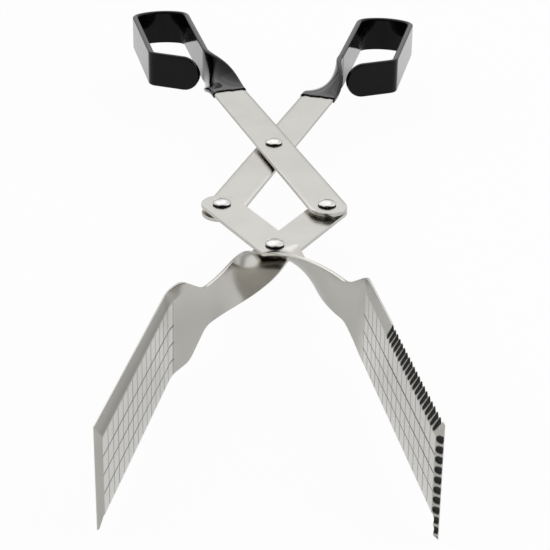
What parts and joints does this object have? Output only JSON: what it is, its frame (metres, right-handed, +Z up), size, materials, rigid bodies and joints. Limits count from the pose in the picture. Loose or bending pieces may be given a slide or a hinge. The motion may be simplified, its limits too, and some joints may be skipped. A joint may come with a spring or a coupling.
{
  "type": "scissor serving tongs",
  "caption": "Scissor-link barbecue tongs: flat steel strips riveted into a kite, twisted into black-coated finger loops and two upright gridded paddles, one plain and one toothed.",
  "frame": {"origin": "middle of the footprint of the tongs lying flat, at the level of the lowest paddle point", "axes": "+X towards the right-hand loop, +Y from the jaws towards the handles, +Z up, square to the plane of the linkage"},
  "size_m": [0.1458, 0.44, 0.0419],
  "materials": {
    "satin_steel": "satin stainless strip, fine lengthwise grain",
    "polished_rivet": "polished rivet steel",
    "black_grip": "gloss black dipped coating"
  },
  "bodies": {
    "left_handle": {"left_handle_arm": "satin_steel", "left_grip_coating": "black_grip", "top_rivet": "polished_rivet", "top_spacer": "polished_rivet", "top_rear_washer": "polished_rivet", "right_rivet": "polished_rivet", "right_spacer": "polished_rivet", "right_rear_washer": "polished_rivet"},
    "right_handle": {"right_handle_arm": "satin_steel", "right_grip_coating": "black_grip", "left_rivet": "polished_rivet", "left_spacer": "polished_rivet", "left_rear_washer": "polished_rivet"},
    "left_jaw": {"left_jaw_arm": "satin_steel"},
    "right_jaw": {"right_jaw_arm": "satin_steel", "bottom_rivet": "polished_rivet", "bottom_spacer": "polished_rivet", "bottom_rear_washer": "polished_rivet"}
  },
  "joints": [
    {"name": "handle_pivot", "type": "hinge", "parent": "left_handle", "child": "right_handle", "pos_m": [0, 0.05361, 0.02175], "axis": [0, 0, 1], "range_deg": [-5, 20.9]},
    {"name": "left_jaw_pivot", "type": "hinge", "parent": "left_handle", "child": "left_jaw", "pos_m": [0.0216, -0.01403, 0.02175], "axis": [0, 0, 1], "range_deg": [-6.68, 27.94]},
    {"name": "right_jaw_pivot", "type": "hinge", "parent": "right_handle", "child": "right_jaw", "pos_m": [-0.0216, -0.01403, 0.02175], "axis": [0, 0, 1], "range_deg": [-27.94, 6.68]}
  ],
  "couplings": [
    {"joint": "left_jaw_pivot", "follows": "handle_pivot", "ratio": 1.337},
    {"joint": "right_jaw_pivot", "follows": "handle_pivot", "ratio": -1.337}
  ]
}
